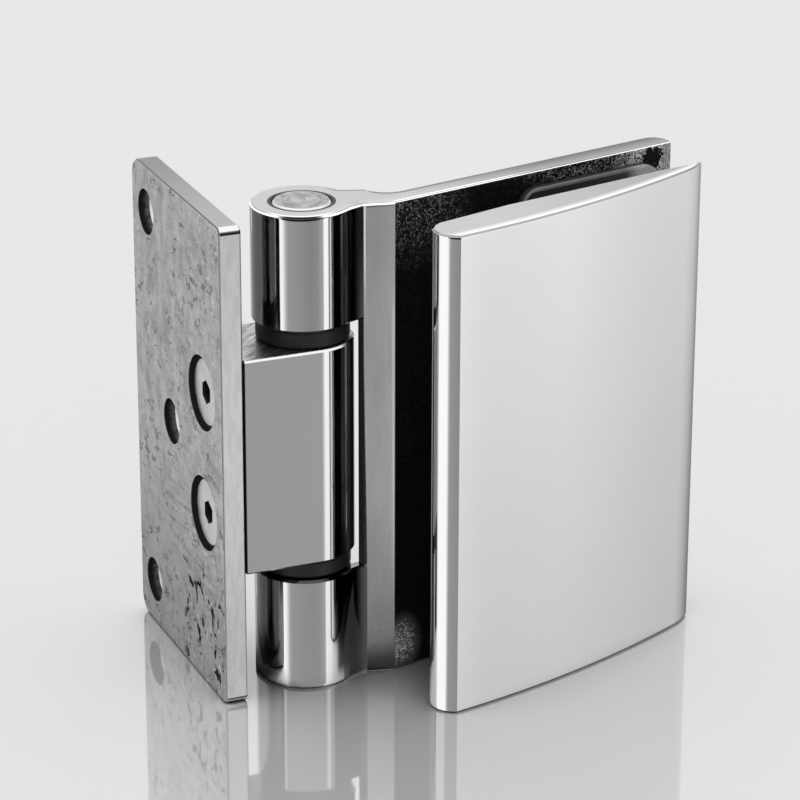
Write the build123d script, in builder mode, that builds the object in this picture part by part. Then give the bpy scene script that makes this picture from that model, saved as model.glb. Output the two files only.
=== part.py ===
from build123d import *
import os
from math import acos, cos, degrees, isclose, radians, sin, sqrt

# Shower door hinge, in millimetres. X = 0 is the wall face, the pin's axis lies at Y = 0, Z = 0 is mid-height.
# The leaf stands a little open, and its pieces are drawn in the leaf's own plane about the pin.

# Overall
height = 90.0
leaf_swing = 12.4
edge_break = 0.35

# Wall plate
plate_width = 46.0
plate_thickness = 4.2
plate_front_corner = 1.3
plate_back_corner = 3.5
wall_hole_diameter = 8.5
wall_hole_sink_diameter = 12.6
wall_hole_side_inset = 7.5
wall_hole_end_inset = 8.7
middle_hole_side_inset = 19.3

# Knuckle, bushes and pin
pin_offset = 18.8
barrel_radius = 9.1
barrel_rim = 0.4
knuckle_height = 40.5
pin_diameter = 10.8
pin_proud = 0.25
pin_recess = 0.3
pin_bevel = 0.6
pin_seat_clearance = 0.02
pin_running_clearance = 0.05
bush_wall = 1.1
bush_length = 17.0
bush_seat_clearance = 0.02
flange_radius = 8.4
flange_thickness = 3.3
flange_chamfer = 0.5
axial_play = 0.1

# Screws that hold the knuckle to the plate
plate_screw_diameter = 6.0
plate_screw_spacing = 23.0
plate_screw_y = 1.0
plate_screw_head_diameter = 12.5
plate_screw_head_height = 1.9
plate_screw_head_recess = 0.9
plate_screw_head_chamfer = 0.3
plate_screw_reach = 6.2
plate_screw_bore_diameter = 13.8
plate_screw_hole_diameter = 6.6
socket_across_flats = 4.0
socket_depth = 2.0
thread_clearance = 0.05
thread_end_room = 0.8

# Leaf, in its own plane: x runs from the pin to the far end, y = 0 passes through the pin
leaf_inner_y = -9.9
leaf_thickness = 4.8
leaf_end_x = 75.2
leaf_end_back_round = 3.2
leaf_end_front_round = 0.9
leaf_notch_slope = 0.5
neck_radius = 12.0
neck_valley_x = 7.9
strip_end_x = 13.0
lug_angle = 10.0
lug_root_x = 17.8
lug_radius = 5.0
lug_sweep = 82.0

# Cover, in the leaf's plane
glass_gap = 8.1
gasket_thickness = 2.0
cover_nose_radius = 4.3
cover_nose_back_x = 13.5
cover_nose_drop = 1.05
cover_relief_x = 28.0
cover_front_edge_x = 11.75
cover_thickness = 9.2
cover_crown_x = 16.0
cover_front_radius = 200.0
cover_turn_x = 67.0
cover_end_radius = 12.5

# Gaskets, clamp screws and their sleeves
gasket_width = 31.0
gasket_start_x = 39.7
gasket_end_inset = 2.7
gasket_corner = 3.5
gasket_hole_clearance = 0.3
clamp_x = 51.0
clamp_spacing = 44.0
clamp_screw_diameter = 6.0
clamp_head_diameter = 12.0
clamp_head_recess = 0.2
clamp_hole_diameter = 6.6
clamp_seat_clearance = 0.03
clamp_reach = 4.0
sleeve_diameter = 12.0
sleeve_end_clearance = 0.3

# Heights and places that follow from the sizes above
half_height = height / 2
knuckle_top = knuckle_height / 2
barrel_length = half_height - knuckle_top - flange_thickness - axial_play
plate_middle_y = plate_width / 2 - barrel_radius
plate_back_y = plate_width - barrel_radius
wall_hole_z = half_height - wall_hole_end_inset
pin_radius = pin_diameter / 2
bush_inner_radius = pin_radius + pin_running_clearance
bush_outer_radius = bush_inner_radius + bush_wall
leaf_back_y = leaf_inner_y + leaf_thickness
cover_back_y = leaf_inner_y - 2 * gasket_thickness - glass_gap
cover_front_y = cover_back_y - cover_thickness
sleeve_length = 2 * gasket_thickness + glass_gap - sleeve_end_clearance
sleeve_bore_radius = clamp_hole_diameter / 2

# Planes: the plate's front, its rear between the two screws, and the leaf's own plane about the pin
plate_front = Plane.YZ.offset(plate_thickness)
plate_rear = Plane(origin=(0, plate_screw_y, 0), x_dir=(0, -1, 0), z_dir=(-1, 0, 0))
leaf_along = Vector(cos(radians(leaf_swing)), sin(radians(leaf_swing)), 0)
leaf_across = Vector(-leaf_along.Y, leaf_along.X, 0)
pin_axis = Vector(pin_offset, 0, 0)
leaf_plane = Plane(origin=pin_axis, x_dir=leaf_along, z_dir=(0, 0, 1))


def leaf_face(y):
    """Plane across the leaf at y, seen from the leaf's back: its x runs towards the pin and its y is up."""
    return Plane(origin=pin_axis + leaf_across * y, x_dir=-leaf_along, z_dir=leaf_across)


def outline_edges(builder, axis, place):
    """Edges round the outer outline of the first or last face of a solid along an axis."""
    return builder.faces().sort_by(axis)[place].outer_wire().edges()


def finish(builder, name):
    """Names a finished piece and writes it."""
    builder.part.label = name
    export_step(builder.part, "parts/" + name + ".step")


os.makedirs("parts", exist_ok=True)

# Wall plate: small corners beside the knuckle, larger ones at the far edge
with BuildPart() as wall_plate:
    with BuildSketch(Plane.YZ):
        with Locations((plate_middle_y, 0)):
            Rectangle(plate_width, height)
        fillet(vertices().group_by(Axis.X)[0], plate_front_corner)
        fillet(vertices().group_by(Axis.X)[-1], plate_back_corner)
    extrude(amount=plate_thickness)
    chamfer(outline_edges(wall_plate, Axis.X, 0) + outline_edges(wall_plate, Axis.X, -1), edge_break)
    with Locations(plate_front):
        with Locations(
            (plate_back_y - wall_hole_side_inset, wall_hole_z),
            (plate_back_y - wall_hole_side_inset, -wall_hole_z),
            (plate_back_y - middle_hole_side_inset, 0),
        ):
            CounterSinkHole(wall_hole_diameter / 2, wall_hole_sink_diameter / 2, counter_sink_angle=90)
    with Locations(plate_rear):
        with GridLocations(0, plate_screw_spacing, 1, 2):
            CounterBoreHole(
                plate_screw_hole_diameter / 2,
                plate_screw_bore_diameter / 2,
                plate_screw_head_recess + plate_screw_head_height,
            )
finish(wall_plate, "wall_plate")

# Low-head socket screws, set into the plate's back
with BuildPart() as plate_screws:
    with Locations(plate_rear.offset(-plate_screw_head_recess)):
        with GridLocations(0, plate_screw_spacing, 1, 2):
            Cylinder(
                plate_screw_head_diameter / 2,
                plate_screw_head_height,
                align=(Align.CENTER, Align.CENTER, Align.MAX),
            )
    chamfer(plate_screws.edges().group_by(Axis.X)[0], plate_screw_head_chamfer)
    with Locations(plate_rear.offset(-plate_screw_head_recess - plate_screw_head_height)):
        with GridLocations(0, plate_screw_spacing, 1, 2):
            Cylinder(
                plate_screw_diameter / 2,
                plate_thickness - plate_screw_head_recess - plate_screw_head_height + plate_screw_reach,
                align=(Align.CENTER, Align.CENTER, Align.MAX),
            )
    with BuildSketch(plate_rear.offset(-plate_screw_head_recess)):
        with GridLocations(0, plate_screw_spacing, 1, 2):
            RegularPolygon(socket_across_flats / 2, 6, major_radius=False, rotation=30)
    extrude(amount=-socket_depth, mode=Mode.SUBTRACT)
finish(plate_screws, "plate_screws")

# Middle knuckle: round about the pin, flat sides back to the plate
with BuildPart() as knuckle_block:
    with BuildSketch(Plane.XY.offset(-knuckle_top)):
        with Locations((plate_thickness, 0)):
            Rectangle(pin_offset - plate_thickness, 2 * barrel_radius, align=(Align.MIN, Align.CENTER))
        with Locations((pin_offset, 0)):
            Circle(barrel_radius)
    extrude(amount=knuckle_height)
    chamfer(outline_edges(knuckle_block, Axis.Z, 0) + outline_edges(knuckle_block, Axis.Z, -1), edge_break)
    with Locations((pin_offset, 0, knuckle_top)):
        Hole(bush_outer_radius + bush_seat_clearance)
    with Locations(plate_rear.offset(-plate_thickness)):
        with GridLocations(0, plate_screw_spacing, 1, 2):
            Hole(plate_screw_diameter / 2 + thread_clearance, depth=plate_screw_reach + thread_end_room)
finish(knuckle_block, "knuckle_block")

# Flanged bushes, pressed into the knuckle from above and below
for bush_name, up in (("upper_bush", 1), ("lower_bush", -1)):
    with BuildPart() as bush:
        with BuildSketch(Plane.XY.offset(up * knuckle_top)):
            with Locations((pin_offset, 0)):
                Circle(flange_radius)
        extrude(amount=up * flange_thickness)
        chamfer(bush.edges().filter_by(GeomType.CIRCLE), flange_chamfer)
        with BuildSketch(Plane.XY.offset(up * knuckle_top)):
            with Locations((pin_offset, 0)):
                Circle(bush_outer_radius)
        extrude(amount=-up * bush_length)
        with Locations((pin_offset, 0, 0)):
            Cylinder(bush_inner_radius, height, mode=Mode.SUBTRACT)
    finish(bush, bush_name)

# Pin: bevelled top, just proud of the upper barrel
with BuildPart() as hinge_pin:
    with BuildSketch(Plane.XY.offset(pin_recess - half_height)):
        with Locations((pin_offset, 0)):
            Circle(pin_radius)
    extrude(amount=height - pin_recess + pin_proud)
    chamfer(hinge_pin.edges().sort_by(Axis.Z)[-1], pin_bevel)
    chamfer(hinge_pin.edges().sort_by(Axis.Z)[0], edge_break)
finish(hinge_pin, "hinge_pin")

# Leaf: the clamping plate runs the full height, and a barrel with its neck joins it at each end.
# The neck's hollow front is an arc that leaves the barrel smoothly and is level at the valley line.
neck_reach = barrel_radius + neck_radius
neck_centre = (neck_valley_x, -sqrt(neck_reach**2 - neck_valley_x**2))
neck_start_angle = degrees(acos(neck_valley_x / neck_reach))
valley = (neck_valley_x, neck_centre[1] + neck_radius)
strip_end = (strip_end_x, leaf_inner_y)
lug_centre = (lug_root_x, leaf_back_y + lug_radius)
lug_start = (barrel_radius * cos(radians(lug_angle)), barrel_radius * sin(radians(lug_angle)))

with BuildPart() as hinge_leaf:
    with BuildSketch(leaf_plane.offset(-half_height)):
        with BuildLine():
            Polyline(
                valley,
                strip_end,
                (leaf_end_x, leaf_inner_y),
                (leaf_end_x, leaf_back_y),
                (neck_valley_x + leaf_notch_slope, leaf_back_y),
                close=True,
            )
        make_face()
        fillet(vertices().group_by(Axis.X)[-1].sort_by(Axis.Y)[-1], leaf_end_back_round)
        fillet(vertices().group_by(Axis.X)[-1].sort_by(Axis.Y)[0], leaf_end_front_round)
    extrude(amount=height)
    for barrel_base in (-half_height, half_height - barrel_length):
        with BuildSketch(leaf_plane.offset(barrel_base)):
            Circle(barrel_radius)
            with BuildLine():
                hollow = CenterArc(neck_centre, neck_radius, 180 - neck_start_angle, neck_start_angle - 90)
                root = CenterArc(lug_centre, lug_radius, 270, -lug_sweep)
                Line(hollow @ 1, root @ 0)
                Polyline(root @ 1, lug_start, (0, 0), hollow @ 0)
            make_face()
        extrude(amount=barrel_length)
    with Locations((pin_offset, 0, 0)):
        Cylinder(pin_radius + pin_seat_clearance, height, mode=Mode.SUBTRACT)
    with Locations(leaf_face(leaf_back_y)):
        with Locations((-clamp_x, clamp_spacing / 2), (-clamp_x, -clamp_spacing / 2)):
            CounterSinkHole(
                clamp_hole_diameter / 2,
                clamp_head_diameter / 2 + clamp_head_recess + clamp_seat_clearance,
                counter_sink_angle=90,
            )
    chamfer(outline_edges(hinge_leaf, Axis.Z, 0) + outline_edges(hinge_leaf, Axis.Z, -1), edge_break)
    chamfer(
        hinge_leaf.edges()
        .filter_by(GeomType.CIRCLE)
        .filter_by_position(Axis.Z, barrel_length - half_height, half_height - barrel_length)
        .filter_by(lambda edge: isclose(edge.radius, barrel_radius)),
        barrel_rim,
    )
finish(hinge_leaf, "hinge_leaf")

# Cover: round nose, then a long shallow front arc that turns down to a thin far end. Behind the nose the back
# is relieved, and it is flat where it clamps.
crown_centre_y = cover_front_y + cover_front_radius
front_edge_y = crown_centre_y - sqrt(cover_front_radius**2 - (cover_front_edge_x - cover_crown_x) ** 2)
turn_y = crown_centre_y - sqrt(cover_front_radius**2 - (cover_turn_x - cover_crown_x) ** 2)
end_share = cover_end_radius / cover_front_radius
end_centre_x = cover_turn_x + (cover_crown_x - cover_turn_x) * end_share
end_centre_y = turn_y + (crown_centre_y - turn_y) * end_share
cover_tip_x = end_centre_x + sqrt(cover_end_radius**2 - (end_centre_y - cover_back_y) ** 2)
cover_nose_back = (cover_nose_back_x, cover_back_y - cover_nose_drop)

with BuildPart() as cover_plate:
    with BuildSketch(leaf_plane.offset(-half_height)):
        with BuildLine():
            Polyline((cover_tip_x, cover_back_y), (cover_relief_x, cover_back_y), cover_nose_back)
            RadiusArc(cover_nose_back, (cover_front_edge_x, front_edge_y), -cover_nose_radius)
            RadiusArc((cover_front_edge_x, front_edge_y), (cover_turn_x, turn_y), -cover_front_radius)
            RadiusArc((cover_turn_x, turn_y), (cover_tip_x, cover_back_y), -cover_end_radius)
        make_face()
    extrude(amount=height)
    chamfer(outline_edges(cover_plate, Axis.Z, 0) + outline_edges(cover_plate, Axis.Z, -1), edge_break)
    with Locations(leaf_face(cover_back_y)):
        with Locations((-clamp_x, clamp_spacing / 2), (-clamp_x, -clamp_spacing / 2)):
            Hole(clamp_screw_diameter / 2 + thread_clearance, depth=clamp_reach + thread_end_room)
finish(cover_plate, "cover_plate")

# Gaskets: one pad on the leaf's inner face and its twin behind the cover
for gasket_name, gasket_y in (
    ("leaf_gasket", leaf_inner_y - gasket_thickness),
    ("cover_gasket", cover_back_y),
):
    with BuildPart() as gasket:
        with BuildSketch(leaf_face(gasket_y)):
            with Locations((-gasket_start_x - gasket_width / 2, 0)):
                RectangleRounded(gasket_width, height - 2 * gasket_end_inset, gasket_corner)
            with Locations((-clamp_x, clamp_spacing / 2), (-clamp_x, -clamp_spacing / 2)):
                Circle(sleeve_diameter / 2 + gasket_hole_clearance, mode=Mode.SUBTRACT)
        extrude(amount=gasket_thickness)
    finish(gasket, gasket_name)

# Sleeves that keep the clamp screws off the glass, seated on the leaf's inner face
with BuildPart() as screw_sleeves:
    with BuildSketch(leaf_face(leaf_inner_y)):
        with Locations((-clamp_x, clamp_spacing / 2), (-clamp_x, -clamp_spacing / 2)):
            Circle(sleeve_diameter / 2)
            Circle(sleeve_bore_radius, mode=Mode.SUBTRACT)
    extrude(amount=-sleeve_length)
finish(screw_sleeves, "screw_sleeves")

# Countersunk clamp screws, from the leaf's back into the cover
clamp_head_height = (clamp_head_diameter - clamp_screw_diameter) / 2
clamp_shank_length = leaf_back_y - clamp_head_recess - clamp_head_height - cover_back_y + clamp_reach
with BuildPart() as clamp_screws:
    with Locations(leaf_face(leaf_back_y - clamp_head_recess)):
        with Locations((-clamp_x, clamp_spacing / 2), (-clamp_x, -clamp_spacing / 2)):
            Cone(
                clamp_screw_diameter / 2,
                clamp_head_diameter / 2,
                clamp_head_height,
                align=(Align.CENTER, Align.CENTER, Align.MAX),
            )
    with Locations(leaf_face(leaf_back_y - clamp_head_recess - clamp_head_height)):
        with Locations((-clamp_x, clamp_spacing / 2), (-clamp_x, -clamp_spacing / 2)):
            Cylinder(
                clamp_screw_diameter / 2,
                clamp_shank_length,
                align=(Align.CENTER, Align.CENTER, Align.MAX),
            )
    with BuildSketch(leaf_face(leaf_back_y - clamp_head_recess)):
        with Locations((-clamp_x, clamp_spacing / 2), (-clamp_x, -clamp_spacing / 2)):
            RegularPolygon(socket_across_flats / 2, 6, major_radius=False)
    extrude(amount=-socket_depth, mode=Mode.SUBTRACT)
finish(clamp_screws, "clamp_screws")
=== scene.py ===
"""Looks of the shower door hinge: polished and satin steel, black casting, plastic bushes, rubber pads."""

from math import cos, radians, sin

import bpy
import numpy as np
from mathutils import Matrix, Vector

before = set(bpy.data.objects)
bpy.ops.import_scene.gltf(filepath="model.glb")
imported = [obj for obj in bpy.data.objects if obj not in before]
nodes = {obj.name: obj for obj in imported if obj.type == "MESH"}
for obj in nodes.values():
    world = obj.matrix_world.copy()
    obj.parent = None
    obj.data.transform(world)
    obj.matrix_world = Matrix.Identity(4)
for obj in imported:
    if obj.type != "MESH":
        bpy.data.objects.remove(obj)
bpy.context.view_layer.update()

# ---------------------------------------------------------------- the hinge's own sizes, in millimetres
MM = 0.001
HALF_HEIGHT = 45.0
EDGE_BREAK = 0.35  # the small chamfer along the edges
PLATE_THICKNESS = 4.2
PLATE_HOLES = (  # across, up, radius
    (29.4, 36.3, 4.25),
    (29.4, -36.3, 4.25),
    (17.6, 0.0, 4.25),
    (1.0, 11.5, 6.9),
    (1.0, -11.5, 6.9),
)
PLATE_SCREW, PLATE_HEAD = (1.0, 11.5), 0.9  # across and up, and how deep the heads' faces lie
BLOCK_HALF = 20.25  # half the knuckle block's height
PIN_X = 18.8  # pin axis from the wall face
PIN_MOUTH = 6.0  # radius of the ring round the pin's top
BARREL_FOOT = 23.6  # where the barrels end above and below the block
LEAF_TURN = 12.4  # degrees the leaf stands from square to the wall
LEAF_FACE, LEAF_BACK = -9.9, -5.1  # the leaf's casting face and its back, across the leaf
STRIP_IN = (7.9, -7.56)  # the satin strip's edge at the hollow neck, along and across the leaf
STRIP_OUT = (13.0, -9.9)  # its edge at the casting face
STRIP_WANDER = 0.5  # how far its inner edge strays towards the foot
LUG_ROOT, LUG_ROUND = (17.8, -0.1), 5.0  # middle and radius of the round behind the barrels' lugs
LUG_SQUARE = (0.522, 0.853)  # the way that the lugs' flat back faces
FRONT = (-0.57, -0.82)  # the way that the front of the barrels' rim faces
COVER_BACK = -22.0
COVER_CROWN, COVER_CURVE = (16.0, -31.2), 200.0  # crown and radius of the cover's long front
GLASS_MIDDLE, GLASS_HALF = -15.95, 4.05  # the gap between the gaskets
GASKET_HALF = 42.3  # half the gaskets' height
CLAMP_SCREW, CLAMP_HEAD = (51.0, 22.0), 5.3  # along and up, and how far off the pin the heads' faces lie
LIT_PATCH_SPOT, LIT_PATCH_SIZE = (14.6, -40.3), (3.0, 4.2)  # the patch of painted light at the casting's foot
PIT_SPOT, PIT_SIZE = (70.4, 42.7), (2.3, 2.2)  # the black pit at its far top corner
WEDGE_TOP = -25.5  # where the wedge of painted shade in the lower neck starts


# ---------------------------------------------------------------- node trees written as expressions
class Wire:
    """One output socket of a node tree. Arithmetic on it adds the Math nodes."""

    def __init__(self, tree, socket):
        self.tree, self.socket = tree, socket

    def math(self, operation, *values):
        return self.tree.add("ShaderNodeMath", {"operation": operation}, dict(enumerate(values)))

    def __add__(self, other):
        return self.math("ADD", self, other)

    def __sub__(self, other):
        return self.math("SUBTRACT", self, other)

    def __rsub__(self, other):
        return self.math("SUBTRACT", other, self)

    def __mul__(self, other):
        return self.math("MULTIPLY", self, other)

    def __truediv__(self, other):
        return self.math("DIVIDE", self, other)

    def __pow__(self, other):
        return self.math("POWER", self, other)

    def __abs__(self):
        return self.math("ABSOLUTE", self)

    def most(self, other):
        return self.math("MAXIMUM", self, other)

    __radd__ = __add__
    __rmul__ = __mul__


class Tree:
    """The nodes of one finish, or of the studio round the hinge."""

    def __init__(self, owner):
        owner.use_nodes = True
        self.nodes, self.links = owner.node_tree.nodes, owner.node_tree.links
        self.nodes.clear()

    def add(self, kind, settings=None, sockets=None, out=0):
        """A node of this kind: its settings first, then its sockets' values or links. Gives the output or
        the outputs named by out."""
        node = self.nodes.new(kind)
        for name, value in (settings or {}).items():
            if name == "stops":
                ramp = node.color_ramp
                while len(ramp.elements) < len(value):
                    ramp.elements.new(1.0)
                for stop, (place, tone) in zip(ramp.elements, value):
                    stop.position = place
                    stop.color = (tone, tone, tone, 1.0)
            else:
                setattr(node, name, value)
        for key, value in (sockets or {}).items():
            if isinstance(value, Wire):
                self.links.new(value.socket, node.inputs[key])
            else:
                node.inputs[key].default_value = value
        if not len(node.outputs):
            return node
        if isinstance(out, tuple):
            return [Wire(self, node.outputs[name]) for name in out]
        return Wire(self, node.outputs[out])

    def place(self, origin=(0, 0, 0), turn=(0, 0, 0), size=(MM, MM, MM)):
        """Object coordinates from an origin, turned, in units of size: millimetres by default."""
        where = self.add("ShaderNodeTexCoord", out="Object")
        return self.add(
            "ShaderNodeMapping",
            {"vector_type": "TEXTURE"},
            {"Vector": where, "Location": origin, "Rotation": turn, "Scale": size},
        )

    def axes(self, vector):
        return self.add("ShaderNodeSeparateXYZ", None, {0: vector}, out=("X", "Y", "Z"))

    def step(self, value, low, high):
        """0 below low, 1 above high and a smooth rise between them. With low above high it falls."""
        return self.add(
            "ShaderNodeMapRange",
            {"interpolation_type": "SMOOTHSTEP"},
            {"Value": value, "From Min": low, "From Max": high, "To Min": 0.0, "To Max": 1.0},
        )

    def band(self, value, start, full, still, gone):
        """0, rising to 1 from start to full, and falling to 0 again from still to gone."""
        return self.step(value, start, full) * self.step(value, gone, still)

    def noise(self, vector, scale, detail=2.0, rough=0.5):
        sockets = {"Vector": vector, "Scale": scale, "Detail": detail, "Roughness": rough}
        return self.add("ShaderNodeTexNoise", None, sockets, out="Fac")

    def stretched(self, vector, along):
        """The vector with each axis multiplied, so that a pattern on it is drawn out or packed."""
        return self.add("ShaderNodeVectorMath", {"operation": "MULTIPLY"}, {0: vector, 1: along})

    def cells(self, vector, scale):
        """How far each place is from the nearest point of a cell pattern."""
        return self.add("ShaderNodeTexVoronoi", None, {"Vector": vector, "Scale": scale}, out="Distance")

    def blend(self, share, first, second):
        """A colour from the first to the second as share goes from 0 to 1."""
        sockets = {0: share, 6: colour(first), 7: colour(second)}
        return self.add("ShaderNodeMix", {"data_type": "RGBA"}, sockets, out=2)

    def bump(self, height):
        """The normal of a surface with that height in millimetres."""
        return self.add("ShaderNodeBump", None, {"Height": height, "Distance": MM, "Strength": 1.0})

    def surface(self, **sockets):
        names = {name.replace("_", " "): value for name, value in sockets.items()}
        shader = self.add("ShaderNodeBsdfPrincipled", None, names)
        self.add("ShaderNodeOutputMaterial", None, {"Surface": shader})


def colour(value):
    """A grey from one number, or the link or colour as it is."""
    if isinstance(value, Wire):
        return value
    if isinstance(value, (int, float)):
        return (value, value, value, 1.0)
    return (*value, 1.0)


def finish(name):
    material = bpy.data.materials.new(name)
    return material, Tree(material)


def wear(node, material):
    """Puts a finish on a CAD node's own slots."""
    for slot in nodes[node].material_slots:
        slot.material = material


# ---------------------------------------------------------------- what the finishes share
STEEL = 0.63  # how much of the light polished steel gives back


def polish(tree, mm, low=0.03, high=0.1):
    """Mirror polish in words: a slow noise lifts the roughness from low to high in faint smears."""
    smear = tree.step(tree.noise(mm, 0.06, 3.0), 0.35, 0.75)
    return smear * (high - low) + low


def ripple(tree, mm, height=0.0015):
    """The slight unevenness that hand polishing leaves: a slow noise of that height in millimetres."""
    return tree.noise(mm, 0.12, 1.0) * height


def dubbed(tree, z, reach, drop):
    """Height in millimetres of a face whose edge the buff has rolled over: it falls with the square of how
    far |z| has come into the last stretch, reach, before the chamfer."""
    end = HALF_HEIGHT - 0.3
    into = ((abs(z) - (end - reach)) / reach).most(0.0)
    return into * into * -drop


def leaf_place(tree):
    """Millimetres in the leaf's own directions: along it from the pin axis, across it, and up."""
    return tree.place((PIN_X * MM, 0, 0), (0, 0, radians(LEAF_TURN)))


def end_faces(tree, z):
    """The flat faces at the hinge's top and foot."""
    return tree.step(abs(z), HALF_HEIGHT - 0.1, HALF_HEIGHT - 0.02)


def end_edges(tree, z):
    """Those faces with the chamfer round them."""
    return tree.step(abs(z), HALF_HEIGHT - EDGE_BREAK - 0.05, HALF_HEIGHT - EDGE_BREAK + 0.03)


def from_axis(x, y):
    return (x * x + y * y) ** 0.5


# ---------------------------------------------------------------- knuckle block
def block_finish():
    """Mirror polish all round, with slanting mill marks on the block's top and bottom faces. Painted shade
    darkens it against the plate and at its far side, towards the leaf."""
    material, tree = finish("polished_block")
    mm = tree.place()
    x, y, z = tree.axes(mm)
    ends = tree.step(abs(z), BLOCK_HALF - 0.06, BLOCK_HALF - 0.02)
    slant = tree.place(turn=(0, 0, radians(38)))
    marks = tree.noise(tree.stretched(slant, (0.25, 3.2, 0.5)), 1.0, 3.0, 0.6)
    base = tree.blend(ends, STEEL, tree.blend(tree.step(marks, 0.3, 0.7), 0.1, 0.62))
    # painted shade: a dark line where the block meets the plate
    base = tree.blend(tree.step(x, PLATE_THICKNESS + 0.4, PLATE_THICKNESS + 0.2), base, 0.01)
    # painted shade on the block's far side, towards the leaf's notch
    base = tree.blend(tree.step(x, PIN_X + 5.8, PIN_X + 7.4) * (1 - ends) * 0.75, base, 0.0)
    rough = polish(tree, mm) * (1 - ends) + ends * 0.32
    height = marks * ends * 0.02 + ripple(tree, mm)
    tree.surface(Base_Color=base, Metallic=1.0, Roughness=rough, Normal=tree.bump(height))
    return material


# ---------------------------------------------------------------- leaf
def leaf_strip(tree, x, y, z):
    """The strip ground between the hollow neck and the casting face. Gives how far a place lies past the
    strip's inner edge, which strays outwards towards the foot, and the strip itself."""
    along = Vector((STRIP_OUT[0] - STRIP_IN[0], STRIP_OUT[1] - STRIP_IN[1])).normalized()
    off = abs((x - STRIP_IN[0]) * -along.y + (y - STRIP_IN[1]) * along.x)
    past = x - STRIP_IN[0] - tree.step(z, 24.0, -28.0) * STRIP_WANDER
    strip = tree.step(off, 0.12, 0.04) * tree.step(past, -0.1, 0.1)
    return past, strip * tree.step(x, STRIP_OUT[0] + 0.1, STRIP_OUT[0] - 0.1)


def leaf_sides(tree, mm, x, y, z, past, strip, brushed, grain):
    """Tone of the leaf's upright metal, and where painted light or shade takes the place of its shine. The
    barrels are polished. The hollow neck is painted dark as shade, darker towards the foot, with a wedge of
    painted shade below the block and a band of painted shade beside the strip. The strip is brushed, with
    painted shade at its foot and a painted highlight along its edges. The lower barrel's inner rim is painted
    dark as shade."""
    hollow = tree.step(y, LEAF_BACK - 0.4, LEAF_BACK - 0.9)
    lower = tree.band(z, -44.6, -41.0, -BARREL_FOOT - 0.4, -BARREL_FOOT)
    # painted shade in the lower hollow
    under = tree.band(x, 0.5, 1.6, 7.8, 8.0) * hollow * lower
    hollow = hollow * tree.step(x, STRIP_OUT[0] + 0.2, STRIP_OUT[0])
    # painted shade darkening the hollow neck
    neck = tree.band(x, 3.4, 4.8, 8.0, 8.2) * hollow * tree.step(abs(z), BARREL_FOOT, BARREL_FOOT + 0.1)
    # painted shade, darker towards the foot
    low = tree.step(z, -4.0, -36.0) * 0.38 + tree.step(z, -38.5, -43.5) * 0.36
    low = low * tree.step(x, 4.5, 7.0) * hollow
    # painted shade: a wedge below the block and a band beside the strip, in place of the metal's shine
    down = (WEDGE_TOP - z).most(0.0)
    wedge = tree.step(x + down * 0.23, 5.1, 5.7) * tree.step(x - (down / 12) ** 3 * 2.6, 5.6, 5.1)
    wedge = wedge * tree.step(x, 2.4, 3.0) * tree.step(z, WEDGE_TOP + 0.5, WEDGE_TOP - 1.5)
    painted_light_share = (wedge * 0.75).most(tree.step(x, 5.6, 7.8)) * tree.step(past, 0.1, -0.1) * hollow
    painted_light_share = painted_light_share * tree.step(abs(z), BARREL_FOOT + 0.1, BARREL_FOOT + 0.6)
    painted_shade_tone = tree.blend(tree.step(x, 5.5, 7.8), 0.08, 0.13)
    painted_shade_tone = tree.blend(tree.step(z, 22.0, 40.0) * 0.9, painted_shade_tone, 0.01)
    # painted shade on the lower barrel's inner rim, under the block
    rim = tree.band(z, -BARREL_FOOT - 0.6, -BARREL_FOOT - 0.4, -1.0, 0.0) * tree.step(x, 6.0, 4.0)

    cloud = tree.noise(tree.stretched(mm, (0.3, 0.3, 0.1)), 1.0, 3.0, 0.6)
    # painted highlight along the strip's edges
    inner = tree.step(past, 0.42, 0.27) * tree.step(z, 22.0, 36.0)
    outer = tree.step(x, STRIP_OUT[0] - 0.55, STRIP_OUT[0] - 0.4) * tree.step(abs(z), 32.0, 22.0)
    arris = inner.most(outer * 0.7) * strip * 0.9
    satin = tree.blend(tree.step(brushed * 0.4 + cloud * 0.6, 0.25, 0.75), 0.86, 1.0)
    satin = tree.blend(arris, satin, 1.0)
    # painted shade at the strip's foot, broken up by the grain
    satin = tree.blend(tree.step(z, -26.0, -38.0) * tree.step(grain, 0.4, 0.6) * 0.25, satin, 0.0)
    satin = tree.blend(tree.step(z, -36.0, -42.0) * 0.2, satin, 0.0)

    tone = tree.blend(strip, tree.blend(neck, STEEL, STEEL * 0.08), satin)
    tone = tree.blend(low, tone, 0.0)
    tone = tree.blend(under * 0.9, tone, 0.03)
    tone = tree.blend(painted_light_share, tone, painted_shade_tone)
    return tree.blend(rim, tone, 0.05), painted_light_share.most(arris)


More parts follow.
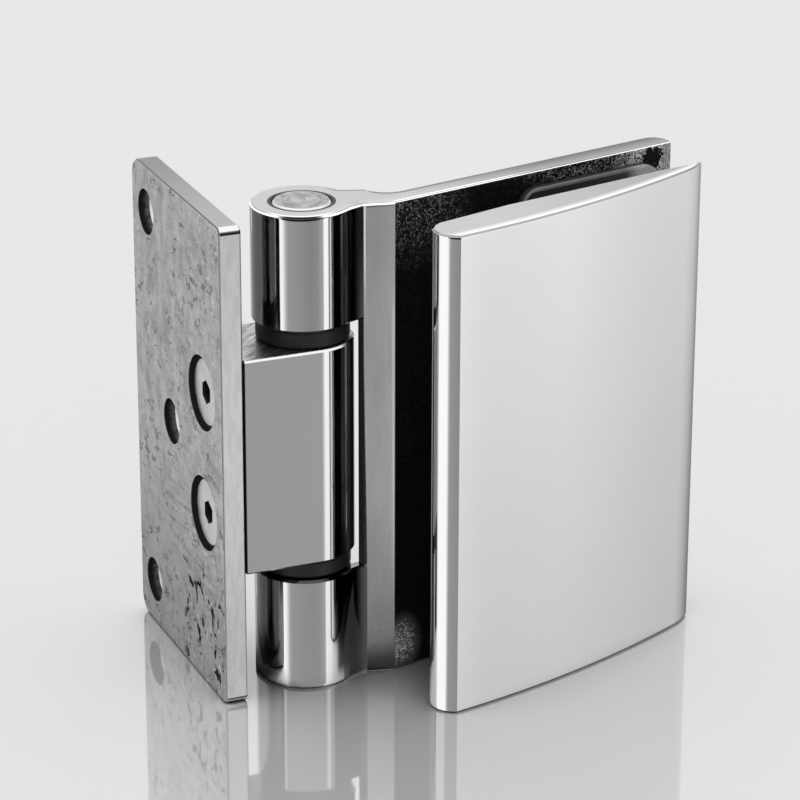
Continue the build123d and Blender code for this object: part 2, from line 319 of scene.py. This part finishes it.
def leaf_ends(tree, x, y, ends, facing, ground):
    """Tone of the leaf's ground top and foot, and where painted light or shade takes the place of their
    shine:
    painted light at the barrels and painted shade to the far end, with a painted highlight along the front
    and round the barrels' lip, and a painted dark line along the back."""
    # painted light and shade: lighter at the barrels and the front, darker to the far end and the back
    fore = tree.step((ground - 0.5) * 1.6 - y, -LEAF_BACK, -LEAF_FACE)
    tone = tree.blend(tree.step(x, 4.0, 54.0), tree.blend(fore, 0.5, 0.62), tree.blend(fore, 0.07, 0.31))
    # painted highlight along the front edge
    shine = tree.step(y, LEAF_FACE + 1.0, LEAF_FACE + 0.7) * tree.band(x, 12.0, 14.0, 34.0, 46.0)
    tone = tree.blend(shine, tone, 1.0)
    # painted dark lines along the back edge and round the lugs
    crease = tree.step(y, LEAF_BACK - 0.65, LEAF_BACK - 0.5) * tree.step(x, 13.0, 15.0) * ends
    brink = tree.step(y, LEAF_BACK - 1.15, LEAF_BACK - 0.85) * tree.step(x, LUG_ROOT[0] - 0.6, LUG_ROOT[0])
    hook = from_axis(x - LUG_ROOT[0], y - LUG_ROOT[1])
    brink = brink.most(tree.step(hook, LUG_ROUND + 1.15, LUG_ROUND + 0.85) * tree.step(x, 12.4, 12.9))
    flat = tree.step(x * LUG_SQUARE[0] + y * LUG_SQUARE[1], 5.05, 5.35)
    brink = brink.most(flat * tree.band(x, 7.0, 9.0, 12.6, 13.0))
    brink = brink * tree.step(x, 44.0, 26.0) * ends * 0.7
    tone = tree.blend(brink, tone, 0.08)
    # painted highlight round the barrels' lip
    lip = tree.step(from_axis(x, y), 8.1, 8.4) * tree.step(facing, 5.5, 7.5) * tree.step(x, 7.0, 5.0)
    return tree.blend(lip, tone, 0.95), (crease * 0.6).most(brink)


def casting_tone(tree, mm, x, z, notch, grain):
    """Tone of the rough casting: black, with a crystal grain that painted light brightens in patches near its
    top, painted light on its far top corner and a painted highlight on its far rim. At its foot is a patch of
    painted light. The notch behind the block is a little greyer."""
    crystals = tree.noise(mm, 3.2, 4.0, 0.75)
    patches = tree.step(tree.noise(mm, 0.8, 3.0, 0.6), 0.36, 0.64) * 0.75 + 0.25
    # painted light on the crystals near the top, left and right
    bright = tree.step(z, 30.0, 43.0) * tree.step(x, 31.0, 21.0) * 0.55
    bright = bright.most(tree.step(x + (z - HALF_HEIGHT) * 2.0, 36.0, 46.0) * 0.75)
    sparkle = tree.step(crystals, 0.53, 0.58) * (bright * 0.97 + 0.03) * patches
    # painted light on the far top corner
    painted_corner_light = tree.step(x, 60.0, 68.0) * tree.step(z, 28.0, 36.0)
    # a patch of painted light at the foot: a lit haze with lit grains
    painted_light_patch = ((x - LIT_PATCH_SPOT[0]) / LIT_PATCH_SIZE[0]) ** 2 + ((z - LIT_PATCH_SPOT[1]) / LIT_PATCH_SIZE[1]) ** 2
    painted_lit_grains = tree.step(tree.noise(mm, 3.4, 4.0, 0.75) - painted_light_patch * 0.12, 0.4, 0.52) * tree.step(painted_light_patch, 3.0, 1.5)
    tone = tree.blend(sparkle, 0.002, 0.52)
    tone = tree.blend(painted_corner_light * tree.step(crystals, 0.46, 0.54), tone, 0.7)
    tone = tree.blend(notch * tree.step(grain, 0.3, 0.7), tone, 0.09)
    tone = tree.blend(tree.step(painted_light_patch, 2.8, 0.4) * 0.85, tone, 0.1)
    tone = tree.blend(painted_lit_grains * tree.step(crystals, 0.4, 0.64), tone, 1.0)
    # painted highlight on the far rim
    rim_tone = tree.blend(tree.step(crystals, 0.4, 0.6), 0.12, 0.5)
    return tree.blend(tree.step(x, 72.4, 73.0), tone, rim_tone)


def leaf_finish():
    """Polished barrels and neck, a brushed strip, ground ends with painted light and shade and a rim of
    painted dark reflection in front, a ring of painted shade round the pin, and a black rough-cast glass side
    with a pit in its far top corner, painted black as shade."""
    material, tree = finish("cast_leaf")
    mm = leaf_place(tree)
    x, y, z = tree.axes(mm)
    ends = end_faces(tree, z)
    broken = end_edges(tree, z) * (1 - ends)
    past, strip = leaf_strip(tree, x, y, z)
    cast = tree.step(y, LEAF_FACE + 0.3, LEAF_FACE + 0.08)
    cast = cast * tree.step(x, STRIP_OUT[0] - 0.1, STRIP_OUT[0] + 0.1)
    cast = cast * tree.step(abs(z), HALF_HEIGHT - 0.16, HALF_HEIGHT - 0.24)
    notch = tree.step(x, 8.6, 8.5) * tree.step(abs(z), BARREL_FOOT + 0.04, BARREL_FOOT) * (1 - strip)
    cast = cast.most(notch)
    bare = 1 - cast
    brushed = tree.noise(tree.stretched(mm, (2.4, 2.4, 0.08)), 1.0, 4.0, 0.65)
    ground = tree.noise(tree.stretched(mm, (0.1, 0.6, 1.0)), 1.0, 3.0, 0.6)
    grain = tree.noise(mm, 4.4, 4.0, 0.7)
    lumps = tree.cells(mm, 1.6)
    facing = x * FRONT[0] + y * FRONT[1]
    # painted shade in the ring round the pin
    seam_shade = tree.step(from_axis(x, y), PIN_MOUTH + 0.1, PIN_MOUTH - 0.05)
    seam_shade = seam_shade * tree.step(abs(z), HALF_HEIGHT - 1.0, HALF_HEIGHT - 0.8)

    tone, painted_light_share = leaf_sides(tree, mm, x, y, z, past, strip, brushed, grain)
    # the chamfer round the ends: full mirror tone for a painted highlight, painted black as dark reflection
    # at the barrels' front
    tone = tree.blend(broken, tone, tree.blend(tree.step(facing, 7.7, 8.6), 1.0, 0.02))
    top, lines = leaf_ends(tree, x, y, ends, facing, ground)
    tone = tree.blend(ends, tone, top)
    tone = tree.blend(seam_shade, tone, 0.02)
    painted_light_share = painted_light_share.most(lines).most(seam_shade).most(broken * tree.step(facing, 7.9, 8.6))

    # the pit is bumped in and painted black as shade in its hollow
    pit = ((x - PIT_SPOT[0]) / PIT_SIZE[0]) ** 2 + ((z - PIT_SPOT[1]) / PIT_SIZE[1]) ** 2
    pit = tree.step(pit + (tree.noise(mm, 0.9, 3.0, 0.6) - 0.5) * 4.0, 1.0, 0.8) * cast
    rough_tone = tree.blend(pit, casting_tone(tree, mm, x, z, notch, grain), 0.0)
    base = tree.blend(cast, tone, rough_tone)

    rough = (polish(tree, mm) * (1 - strip) + strip * 0.3) * (1 - ends) + ends * 0.24
    rough = rough * bare + cast * 0.55
    height = (grain * 0.14 - lumps * 0.08 - pit * 0.5) * cast
    height = height + brushed * strip * 0.012 + ground * ends * 0.008
    height = height + (dubbed(tree, z, 0.5, 0.065) * (1 - ends) + ripple(tree, mm)) * bare
    tree.surface(
        Base_Color=base,
        Metallic=bare * (1 - painted_light_share),
        Roughness=rough,
        Specular_IOR_Level=0.08,
        Normal=tree.bump(height),
    )
    return material


# ---------------------------------------------------------------- cover
def cover_finish():
    """Even mirror polish with faint smears. The ends are ground duller, with painted shade darkening them to
    the far end, a painted highlight along their curved front and a paler one along their back; the chamfer
    round them is painted darker as a dark edge line."""
    material, tree = finish("polished_cover")
    mm = leaf_place(tree)
    x, y, z = tree.axes(mm)
    ends = end_faces(tree, z)
    ground = tree.noise(tree.stretched(mm, (0.12, 1.1, 1.0)), 1.0, 3.0, 0.6)
    smear = tree.noise(mm, 0.05, 3.0)
    # painted shade: the ends darker to the far end
    near_tone, far_tone = tree.blend(ground, 0.46, 0.54), tree.blend(ground, 0.3, 0.36)
    top = tree.blend(tree.step(x, 20.0, 68.0), near_tone, far_tone)
    # painted highlights along the ends' curved front and their back
    front = (x - COVER_CROWN[0]) ** 2 / (2 * COVER_CURVE) + COVER_CROWN[1]
    top = tree.blend(tree.step(y - front, 2.4, 0.4), top, 0.95)
    top = tree.blend(tree.step(y, COVER_BACK - 0.5, COVER_BACK - 0.35), top, 0.75)
    # painted dark edge line on the chamfer
    side = tree.blend(end_edges(tree, z), tree.blend(smear, STEEL - 0.015, STEEL + 0.015), 0.3)
    base = tree.blend(ends, side, top)
    rough = polish(tree, mm, 0.05, 0.13) * (1 - ends) + ends * 0.22
    height = ground * ends * 0.006 + dubbed(tree, z, 0.4, 0.03) * (1 - ends) + ripple(tree, mm, 0.001)
    tree.surface(Base_Color=base, Metallic=1.0, Roughness=rough, Normal=tree.bump(height))
    return material


# ---------------------------------------------------------------- wall plate
def strokes(tree, start, turn, across, up, thin, kept):
    """Scattered short strokes on the plate's wall side: the thin lines where a noise passes its middle, drawn
    out across and up by those millimetres and leaning by turn degrees, and kept only in the patches of
    another noise."""
    lean, size = (radians(turn), 0, 0), (MM, across * MM, up * MM)
    line = tree.noise(tree.place((0, start * MM, start * MM), lean, size), 1.0, 3.0, 0.55)
    patch = tree.noise(tree.place((0, -start * MM, (start + 60) * MM), lean, size), 1.2, 2.0)
    return tree.step(abs(line - 0.5), thin, thin * 0.5) * tree.step(patch, kept - 0.015, kept + 0.015)


def plate_marks(tree, mm, y, z):
    """How dark the marks on the plate's wall side are: thin specks in clusters, long scores level with the
    lower screw and black nicks at the lower front. And the small painted glints towards the front."""
    clusters = tree.step(tree.noise(mm, 0.12, 2.0), 0.42, 0.56)
    specks = strokes(tree, 10, 0, 4.4, 2.4, 0.04, 0.57)
    specks = specks.most(strokes(tree, 140, -20, 3.8, 4.2, 0.03, 0.57)) * (clusters * 0.7 + 0.3)
    nicks = strokes(tree, 230, 14, 4.4, 6.0, 0.09, 0.6)
    nicks = nicks.most(strokes(tree, 320, -25, 3.8, 5.2, 0.08, 0.61))
    nicks = nicks * tree.step(z, -20.0, -24.0) * tree.step(y, 16.0, 10.0)
    scores = strokes(tree, 410, -5, 44.0, 1.6, 0.03, 0.56)
    scores = scores.most(strokes(tree, 530, 5, 34.0, 1.4, 0.03, 0.58))
    scores = scores * tree.band(z, -34.0, -24.0, -2.0, 6.0) * tree.step(y, 26.0, 16.0)
    glints = strokes(tree, 620, 0, 2.6, 1.6, 0.05, 0.6) * tree.step(y, 18.0, 2.0)
    return (specks * 0.62).most(scores * 0.35).most(nicks), glints


def plate_bores(tree, y, z):
    """The plate's holes and counterbores: the places no further from a hole's middle than its radius."""
    bores = None
    for across, up, radius in PLATE_HOLES:
        inside = tree.step(from_axis(y - across, z - up), radius + 0.12, radius + 0.04)
        bores = inside if bores is None else bores.most(inside)
    return bores


def plate_finish():
    """Satin plate: the wall side is smooth grey, faintly clouded and stained, with dark marks and painted
    glints, and darker towards the foot. The edges are ground plain, with painted light and shade along them,
    a painted dark line on the bevel to the wall side and polished front corners crossed by a painted dark
    line.
    The face towards the knuckle is painted darker as shade, and the bores are painted dark as shade."""
    material, tree = finish("satin_plate")
    mm = tree.place()
    x, y, z = tree.axes(mm)
    back = tree.step(x, 0.12, 0.03)
    front = tree.step(x, PLATE_THICKNESS - 0.1, PLATE_THICKNESS - 0.02)
    edge = (1 - back) * (1 - front)
    bores = plate_bores(tree, y, z)
    mottle = tree.noise(tree.stretched(mm, (1.0, 0.3, 0.22)), 1.0, 4.0, 0.62)
    fine = tree.noise(tree.stretched(mm, (1.0, 0.4, 1.1)), 1.0, 4.0, 0.72)
    stain = tree.step(tree.noise(tree.stretched(mm, (1.0, 0.16, 0.09)), 1.0, 3.0, 0.6), 0.5, 0.72)
    dark, glints = plate_marks(tree, mm, y, z)
    tone = tree.blend(tree.step(mottle * 0.65 + fine * 0.35, 0.32, 0.68), 0.38, 0.64)
    tone = tree.blend(stain * 0.4, tone, 0.14)
    # darker towards the foot
    tone = tree.blend(tree.step(z, 0.0, -46.0) * 0.5, tone, 0.12)
    # painted glints towards the front
    tone = tree.blend(glints * 0.4, tone, 1.0)
    tone = tree.blend(dark, tone, 0.02)

    # painted light and shade on the edges: top and foot darker away from the knuckle, sides lighter at
    # mid-height and towards the top
    crown = tree.blend(tree.step(y, 38.0, -9.0), 0.24, 0.4)
    lighter = tree.step(mottle, 0.3, 0.7) * 0.4 + tree.step(abs(z), 40.0, 5.0) * 0.35
    lighter = lighter + tree.step(z, -30.0, 30.0) * 0.25
    rim = tree.blend(tree.step(abs(z), 44.0, 44.7), tree.blend(lighter, 0.68, 0.98), crown)
    # painted dark line across the polished front corners
    corner = tree.step(abs(z), 43.6, 43.8) * tree.step(y, -7.7, -8.0) * edge
    fold = tree.band(abs(z), 43.7, 43.85, 44.15, 44.3)
    rim = tree.blend(corner, rim, tree.blend(fold, STEEL, 0.1))
    # painted dark line on the bevel
    bevel = tree.band(x, 0.03, 0.06, EDGE_BREAK - 0.03, EDGE_BREAK + 0.01) * (1 - bores)
    rim = tree.blend(bevel, rim, 0.16)

    # the face towards the knuckle painted darker as shade
    base = tree.blend(back, tree.blend(front, rim, 0.38), tone)
    # painted shade in the bores, darkest deep inside
    hole_tone = tree.blend(tree.step(fine, 0.35, 0.65), 0.05, 0.2)
    hole_tone = tree.blend(tree.step(x, 0.7, 2.2), 0.015, hole_tone)
    counterbore_tone = tree.blend(tree.step(x, 0.9, 1.6), 0.02, 0.06)
    bore_tone = tree.blend(tree.step(y, 9.0, 8.0), hole_tone, counterbore_tone)
    base = tree.blend(bores * (1 - back), base, bore_tone)

    plain = edge * (1 - corner) * (1 - bevel)
    rough = back * 0.36 + plain * 0.44 + corner * 0.08 + bevel * 0.16 + front * 0.12
    height = (fine * 0.006 - dark * 0.03 + mottle * 0.012) * back + fine * plain * 0.003
    tree.surface(
        Base_Color=base,
        Metallic=(1 - dark * back) * (1 - bores * (1 - back)),
        Roughness=rough,
        Specular_IOR_Level=0.0,
        Normal=tree.bump(height),
    )
    return material


# ---------------------------------------------------------------- screws, pin, bushes, gaskets, sleeves
def screw_finish(name, origin, turn, head, across, up):
    """Plain turned steel heads with a faint grain and six-sided sockets painted dark as shade, darker deeper
    in.
    The screws run along x from their heads' faces, and stand that far across and, above and below mid-height,
    up."""
    material, tree = finish(name)
    mm = tree.place((origin * MM, 0, 0), (0, 0, radians(turn)))
    x, y, z = tree.axes(mm)
    grain = tree.noise(mm, 0.7, 4.0, 0.65)
    base = tree.blend(tree.step(grain, 0.3, 0.7), 0.7, 0.8)
    depth = x - head
    # painted shade in the sockets, darker deeper in
    socket = tree.step(from_axis(y - across, abs(z) - up), 2.6, 2.5) * tree.step(depth, 0.06, 0.12)
    base = tree.blend(socket, base, tree.blend(tree.step(depth, 0.3, 1.9), 0.2, 0.03))
    tree.surface(
        Base_Color=base,
        Metallic=1.0,
        Roughness=grain * 0.1 + 0.3,
        Normal=tree.bump(grain * 0.004),
    )
    return material


def pin_finish():
    """Turned pin: rings round its axis on the ends, smeared by a slow noise, and a polished bevel."""
    material, tree = finish("turned_pin")
    mm = tree.place((PIN_X * MM, 0, 0))
    x, y, z = tree.axes(mm)
    radius = from_axis(x, y)
    cloud = tree.noise(mm, 0.5, 4.0, 0.6)
    turned_by = tree.add("ShaderNodeCombineXYZ", None, {"X": radius * 4.0, "Y": cloud * 1.2})
    rings = tree.noise(turned_by, 1.0, 3.0, 0.7)
    base = tree.blend(tree.step(rings * 0.5 + cloud * 0.5, 0.38, 0.62), 0.18, 0.5)
    base = tree.blend(tree.step(radius, 4.8, 4.9), base, STEEL)
    tree.surface(
        Base_Color=base,
        Metallic=1.0,
        Roughness=cloud * 0.2 + 0.14,
        Normal=tree.bump(rings * 0.02 + cloud * 0.02),
    )
    return material


def bush_finish():
    """Black moulded plastic with a fine matt grain."""
    material, tree = finish("black_bush")
    mm = tree.place()
    grain = tree.noise(mm, 3.0, 3.0, 0.6)
    base = tree.blend(tree.noise(mm, 0.4, 3.0), 0.006, 0.018)
    tree.surface(Base_Color=base, Roughness=grain * 0.2 + 0.4, Normal=tree.bump(grain * 0.012))
    return material


def gasket_finish():
    """Clear grey soft rubber, clouded and a little frosted. Its faces to the glass are painted dark as shade
    and its edges carry a painted highlight in the half next to the glass; both take painted light at the far
    end."""
    material, tree = finish("clear_gasket")
    mm = leaf_place(tree)
    x, y, z = tree.axes(mm)
    cloud = tree.noise(mm, 0.15, 4.0, 0.6)
    seat = abs(y - GLASS_MIDDLE)
    # painted shade on the faces to the glass
    face = tree.step(seat, GLASS_HALF + 0.07, GLASS_HALF + 0.02)
    face = face * tree.step(abs(z), GASKET_HALF - 0.35, GASKET_HALF - 0.5)
    # painted light at the far end, and a painted highlight on the edges next to the glass
    far = tree.step(x, 62.5, 66.0)
    edge = tree.blend(far, tree.blend(tree.step(cloud, 0.3, 0.7), 0.22, 0.32), 0.6)
    edge = tree.blend(tree.step(seat, GLASS_HALF + 1.05, GLASS_HALF + 0.75), 0.06, edge)
    base = tree.blend(face, edge, tree.blend(far, 0.04, 0.45))
    tree.surface(
        Base_Color=base,
        Roughness=cloud * 0.3 + 0.2,
        Transmission_Weight=0.3,
        IOR=1.43,
        Normal=tree.bump(tree.noise(mm, 1.4, 3.0) * 0.015),
    )
    return material


def sleeve_finish():
    """Pale moulded plastic with a fine matt grain."""
    material, tree = finish("pale_sleeve")
    mm = tree.place()
    grain = tree.noise(mm, 2.0, 3.0)
    base = tree.blend(grain, 0.55, 0.65)
    tree.surface(Base_Color=base, Roughness=grain * 0.2 + 0.4, Normal=tree.bump(grain * 0.01))
    return material


wear("knuckle_block", block_finish())
wear("hinge_leaf", leaf_finish())
wear("cover_plate", cover_finish())
wear("wall_plate", plate_finish())
wear("plate_screws", screw_finish("plate_screw", 0.0, 0.0, PLATE_HEAD, *PLATE_SCREW))
wear("clamp_screws", screw_finish("clamp_screw", PIN_X, LEAF_TURN - 90, CLAMP_HEAD, *CLAMP_SCREW))
wear("hinge_pin", pin_finish())
bushes = bush_finish()
wear("upper_bush", bushes)
wear("lower_bush", bushes)
gaskets = gasket_finish()
wear("leaf_gasket", gaskets)
wear("cover_gasket", gaskets)
wear("screw_sleeves", sleeve_finish())

# ---------------------------------------------------------------- camera
CAMERA_PLACE = Vector((-0.19562, -0.55562, 0.24217))
CAMERA_YAW, CAMERA_PITCH, CAMERA_ROLL = -22.76, 21.494, 0.119  # degrees
CAMERA_LENS, CAMERA_SENSOR = 161.7, 36.0


def set_camera():
    """The camera looks back along its axis: yaw round the upright, pitch above the floor, a trace of roll."""
    yaw, pitch, roll = radians(CAMERA_YAW), radians(CAMERA_PITCH), radians(CAMERA_ROLL)
    back = Vector((sin(yaw) * cos(pitch), -cos(yaw) * cos(pitch), sin(pitch)))
    right = Vector((cos(yaw), sin(yaw), 0))
    up = back.cross(right)
    across = right * cos(roll) + up * sin(roll)
    above = up * cos(roll) - right * sin(roll)
    data = bpy.data.cameras.new("camera")
    data.lens, data.sensor_width = CAMERA_LENS, CAMERA_SENSOR
    data.clip_start, data.clip_end = 0.01, 50.0
    camera = bpy.data.objects.new("camera", data)
    stand = Matrix((across, above, back)).transposed().to_4x4()
    camera.matrix_world = Matrix.Translation(CAMERA_PLACE) @ stand
    bpy.context.scene.collection.objects.link(camera)
    bpy.context.scene.camera = camera


set_camera()

# ---------------------------------------------------------------- studio
PAPER = (0.776, 0.791, 0.784)  # the pale ground, as the camera sees it
WALL, CEILING = 1.1, 1.5  # how light the studio's wall and its ceiling are
FLOOR_HALF, FLOOR_GAP = 3.0, 2e-5  # metres: half the board's width, and the gap under the hinge
FLOOR_GLOSS = 0.5
FLOOR_LIFT = 1.04  # how much lighter the matt board is than the ground the camera sees
VIEW_AZIMUTH = -112.76  # degrees, from the hinge towards the camera


def set_floor():
    """A flat square of polished pale board under the hinge: even white with a clear mirror coat. Close to the
    hinge its colour is darkened by ambient occlusion as painted shade, and in the steel's own reflections
    only a dark sheet of that painted shade shows, so the cards stand clear beyond it."""
    side = np.array((-FLOOR_HALF, FLOOR_HALF))
    across, along = np.meshgrid(side, side, indexing="ij")
    level = np.full_like(across, -HALF_HEIGHT * MM - FLOOR_GAP)
    points = np.stack((across, along, level), -1).reshape(-1, 3)
    mesh = bpy.data.meshes.new("floor")
    mesh.from_pydata(points.tolist(), [], [(0, 2, 3, 1)])
    board = bpy.data.objects.new("floor", mesh)
    bpy.context.scene.collection.objects.link(board)
    material, tree = finish("pale_board")
    open_sky = tree.add("ShaderNodeAmbientOcclusion", {"samples": 16}, {"Distance": 0.03}, out="AO")
    # painted shade: near the hinge the board's colour darkens, and reflections see a dark sheet
    near = tree.step(open_sky, 0.56, 0.3)
    board_tone = tuple(tone * FLOOR_LIFT for tone in PAPER)
    shade = tree.blend(tree.step(open_sky, 0.75, 0.2), board_tone, 0.25)
    matt = tree.add("ShaderNodeBsdfDiffuse", None, {"Color": shade})
    coat = colour(PAPER[1] / WALL)
    gloss = tree.add("ShaderNodeBsdfGlossy", None, {"Color": coat, "Roughness": 0.04})
    both = tree.add("ShaderNodeMixShader", None, {0: FLOOR_GLOSS, 1: matt, 2: gloss})
    mirrored = tree.add("ShaderNodeLightPath", out="Is Glossy Ray")
    clear = tree.add("ShaderNodeBsdfTransparent")
    dusk = tree.add("ShaderNodeBsdfDiffuse", None, {"Color": colour(0.03)})
    under = tree.add("ShaderNodeMixShader", None, {0: near, 1: clear, 2: dusk})
    seen = tree.add("ShaderNodeMixShader", None, {0: mirrored, 1: both, 2: under})
    tree.add("ShaderNodeOutputMaterial", None, {"Surface": seen})
    mesh.materials.append(material)


CARDS = (  # degrees round the hinge, tone at the cards' heads, tone at their feet
    (-180, 0.5, 0.5),
    (-150, 0.5, 0.5),
    (-141, 0.6, 0.6),
    (-134, 0.66, 0.66),
    (-105, 0.7, 0.7),
    (-93, 0.9, 0.9),
    (-88, 1.5, 1.5),
    (-46, 1.5, 1.5),
    (-40, 1.2, 1.2),
    (-35, 0.66, 0.66),
    (-29, 0.47, 0.46),
    (0, 0.41, 0.42),
    (20, 0.33, 0.42),
    (36, 0.37, 0.43),
    (44, 0.5, 0.5),
    (49, 0.56, 0.55),
    (52, 1.5, 1.3),
    (66, 1.5, 1.1),
    (72, 1.22, 0.86),
    (85, 1.26, 0.85),
    (97, 1.08, 0.78),
    (110, 1.02, 0.66),
    (126, 0.9, 0.44),
    (139, 0.68, 0.25),
    (150, 0.45, 0.18),
    (165, 0.42, 0.3),
    (180, 0.5, 0.5),
)


def card_stops(part):
    """Ramp stops of the cards' heads, part 1, or feet, part 2: from -180 to 180 degrees with 0 towards the
    camera. Tones are halved to fit."""
    return [((card[0] + 180) / 360, card[part] / 2) for card in CARDS]


def set_studio():
    """Soft cards round the hinge: white to the left, grey in front, white then fading light to the right, an
    even pale wall above the table's edge and a white ceiling. In front a grey panel stands before the wall, a
    dark line runs along the table's edge, and the camera's dark stand is in the middle. Soft light comes
    evenly from all round, a little more from behind. The camera sees the plain pale ground."""
    world = bpy.data.worlds.new("studio")
    world.cycles.sampling_method = "NONE"
    bpy.context.scene.world = world
    tree = Tree(world)
    x, y, z = tree.axes(tree.add("ShaderNodeTexCoord", out="Generated"))
    facing = radians(VIEW_AZIMUTH)
    ahead = x * cos(facing) + y * sin(facing)
    aside = y * cos(facing) - x * sin(facing)
    round_angle = ahead.math("ARCTAN2", aside, ahead) * (180 / np.pi)
    height = z.math("ARCSINE", z) * (180 / np.pi)
    share = (round_angle + 180) / 360
    head = tree.add("ShaderNodeValToRGB", {"stops": card_stops(1)}, {0: share})
    foot = tree.add("ShaderNodeValToRGB", {"stops": card_stops(2)}, {0: share})
    low = tree.blend((height + 27) / 10, foot, head)
    upward = [(0.0, WALL / 2), (0.38, WALL / 2), (0.5, CEILING / 2), (1.0, CEILING / 2)]
    high = tree.add("ShaderNodeValToRGB", {"stops": upward}, {0: height / 90})
    panel = tree.band(round_angle, -50.0, -40.0, 48.0, 56.0) * tree.step(height, 42.0, 34.0)
    high = tree.blend(panel, high, 0.22)
    surround = tree.blend(tree.step(height, -3.0, 1.0), low, high)
    line = tree.band(round_angle, -42.0, -36.0, 104.0, 116.0) * tree.band(height, -5.0, -2.0, 6.0, 8.0)
    stand = tree.step((round_angle / 44) ** 2 + ((height + 4) / 13) ** 2, 1.15, 0.9)
    surround = tree.blend((line * 0.85).most(stand * 0.95), surround, 0.0)
    seen, soft = tree.add("ShaderNodeLightPath", out=("Is Camera Ray", "Is Diffuse Ray"))
    lit = 0.5 - ahead * 0.1
    grey = tree.add("ShaderNodeCombineColor", None, {0: lit, 1: lit, 2: lit})
    light = tree.blend(soft, surround, grey)
    light = tree.blend(seen, light, tuple(tone / 2 for tone in PAPER))
    shader = tree.add("ShaderNodeBackground", None, {"Color": light, "Strength": 2.0})
    tree.add("ShaderNodeOutputWorld", None, {"Surface": shader})


set_floor()
set_studio()
bpy.context.scene.view_settings.view_transform = "Standard"
